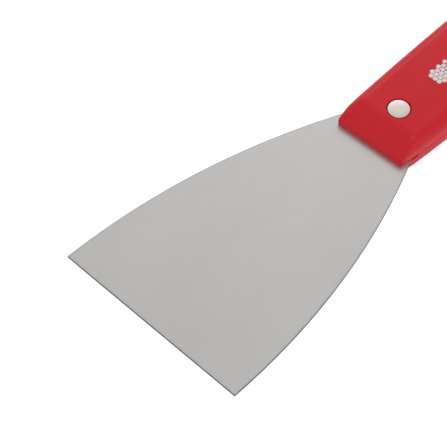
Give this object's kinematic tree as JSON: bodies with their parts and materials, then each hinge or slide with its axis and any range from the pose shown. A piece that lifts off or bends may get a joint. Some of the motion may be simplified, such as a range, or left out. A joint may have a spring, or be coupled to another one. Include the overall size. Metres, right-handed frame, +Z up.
{
  "type": "hive tool",
  "caption": "Flared scraper type hive tool: thin spring-steel blade with a square working edge, its tang riveted between the halves of a red handle with a hang hole.",
  "frame": {"origin": "middle of the square working edge of the blade, at half the blade's thickness", "axes": "+Y along the tool from the working edge to the butt of the handle, +Z out of the face that carries the rivet studs and the printed mark, +X across the blade to the right when looking along +Y with +Z up"},
  "size_m": [0.0762, 0.216, 0.0134],
  "materials": {
    "blade_steel": "satin, fine rolling grain, square ground edges",
    "handle_red": "smooth gloss",
    "rivet_metal": "bright plated, flat turned head",
    "mark_ink": "thin white print"
  },
  "bodies": {
    "root": {"blade": "blade_steel", "upper_handle_half": "handle_red", "lower_handle_half": "handle_red", "front_rivet_stud": "rivet_metal", "front_rivet_sleeve": "rivet_metal", "rear_rivet_stud": "rivet_metal", "rear_rivet_sleeve": "rivet_metal"}
  },
  "joints": []
}
